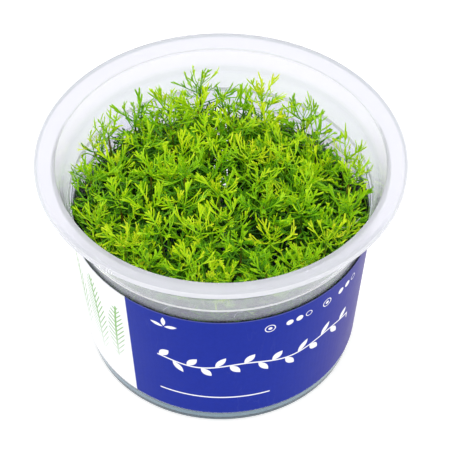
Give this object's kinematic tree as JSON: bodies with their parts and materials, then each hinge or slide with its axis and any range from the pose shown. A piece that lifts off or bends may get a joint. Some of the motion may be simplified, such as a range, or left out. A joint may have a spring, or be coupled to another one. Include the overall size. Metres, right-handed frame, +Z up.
{
  "type": "potted myriophyllum mattogrossense",
  "caption": "Bright green water milfoil shoots with feathery whorled leaves, crowded in a milky clear round tub with a wide flared rim, a wrap-round printed label and growing gel.",
  "frame": {"origin": "centre of the cup's foot, on the surface that it stands on", "axes": "+Z up through the middle of the cup; the middle of the label's printed side faces -Y"},
  "size_m": [0.095, 0.095, 0.0634],
  "materials": {
    "milky_plastic": "satin",
    "printed_film": "satin",
    "gel": "gloss",
    "leaf_lime": "satin",
    "leaf_green": "satin",
    "leaf_deep": "satin"
  },
  "bodies": {
    "root": {"cup": "milky_plastic", "label": "printed_film", "gel": "gel", "shoot_01": "leaf_lime", "shoot_02": "leaf_green", "shoot_03": "leaf_deep", "shoot_04": "leaf_lime", "shoot_05": "leaf_green", "shoot_06": "leaf_deep", "shoot_07": "leaf_lime", "shoot_08": "leaf_green", "shoot_09": "leaf_deep", "shoot_10": "leaf_lime", "shoot_11": "leaf_green", "shoot_12": "leaf_deep", "shoot_13": "leaf_lime", "shoot_14": "leaf_green", "shoot_15": "leaf_deep", "shoot_16": "leaf_lime", "shoot_17": "leaf_green", "shoot_18": "leaf_deep", "shoot_19": "leaf_lime", "shoot_20": "leaf_green", "shoot_21": "leaf_deep", "shoot_22": "leaf_lime", "shoot_23": "leaf_green", "shoot_24": "leaf_deep", "shoot_25": "leaf_lime", "shoot_26": "leaf_green", "shoot_27": "leaf_deep", "shoot_28": "leaf_lime", "shoot_29": "leaf_green", "shoot_30": "leaf_deep", "shoot_31": "leaf_lime", "shoot_32": "leaf_green", "shoot_33": "leaf_deep", "shoot_34": "leaf_lime", "shoot_35": "leaf_green", "shoot_36": "leaf_deep", "shoot_37": "leaf_lime", "shoot_38": "leaf_green", "shoot_39": "leaf_deep", "shoot_40": "leaf_lime", "shoot_41": "leaf_green", "shoot_42": "leaf_deep", "shoot_43": "leaf_lime", "shoot_44": "leaf_green", "shoot_45": "leaf_deep", "shoot_46": "leaf_lime", "shoot_47": "leaf_green", "shoot_48": "leaf_deep"}
  },
  "joints": []
}
